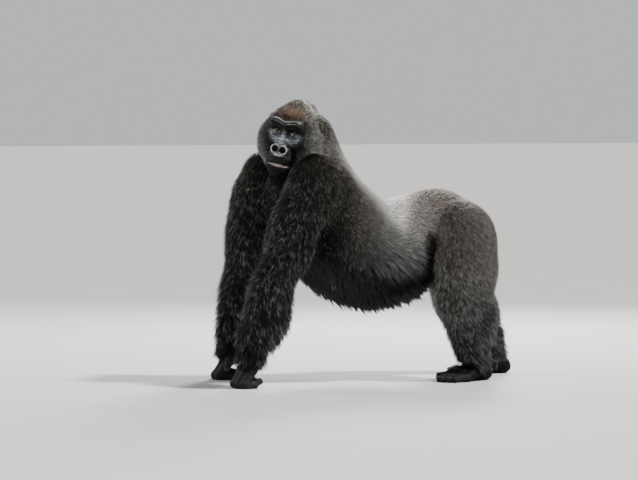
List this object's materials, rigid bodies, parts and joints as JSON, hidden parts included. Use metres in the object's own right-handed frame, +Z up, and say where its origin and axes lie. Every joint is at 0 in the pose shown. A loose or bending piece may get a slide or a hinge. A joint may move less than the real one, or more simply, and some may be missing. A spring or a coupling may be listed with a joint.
{
  "type": "gorilla",
  "caption": "Life-size still model of a silverback western gorilla standing on all fours on its knuckles, head turned to its left.",
  "frame": {"origin": "middle of the bounding box on the floor that the feet and knuckles stand on", "axes": "+Z up, the animal faces -Y, and its left side is +X"},
  "size_m": [0.7366, 1.4718, 1.266],
  "materials": {
    "silver_coat": "silver-grey hair over the back, loins and rump, black beneath",
    "grey_coat": "grey-brown salt-and-pepper hair",
    "black_coat": "long black hair with a blue-grey sheen",
    "bare_skin": "bare blue-black skin, slightly shiny",
    "eye": "wet dark brown eye",
    "nail": "dull dark horn"
  },
  "bodies": {
    "root": {"trunk": "silver_coat", "neck": "grey_coat", "head": "grey_coat", "ear_left": "bare_skin", "eye_left": "eye", "ear_right": "bare_skin", "eye_right": "eye", "upper_arm_left": "black_coat", "forearm_left": "black_coat", "hand_left": "bare_skin", "hand_left_finger_nail_1": "nail", "hand_left_finger_nail_2": "nail", "hand_left_finger_nail_3": "nail", "hand_left_finger_nail_4": "nail", "hand_left_finger_nail_5": "nail", "thigh_left": "grey_coat", "shin_left": "black_coat", "foot_left": "bare_skin", "foot_left_toe_nail_1": "nail", "foot_left_toe_nail_2": "nail", "foot_left_toe_nail_3": "nail", "foot_left_toe_nail_4": "nail", "foot_left_toe_nail_5": "nail", "upper_arm_right": "black_coat", "forearm_right": "black_coat", "hand_right": "bare_skin", "hand_right_finger_nail_1": "nail", "hand_right_finger_nail_2": "nail", "hand_right_finger_nail_3": "nail", "hand_right_finger_nail_4": "nail", "hand_right_finger_nail_5": "nail", "thigh_right": "grey_coat", "shin_right": "black_coat", "foot_right": "bare_skin", "foot_right_toe_nail_1": "nail", "foot_right_toe_nail_2": "nail", "foot_right_toe_nail_3": "nail", "foot_right_toe_nail_4": "nail", "foot_right_toe_nail_5": "nail"}
  },
  "joints": []
}
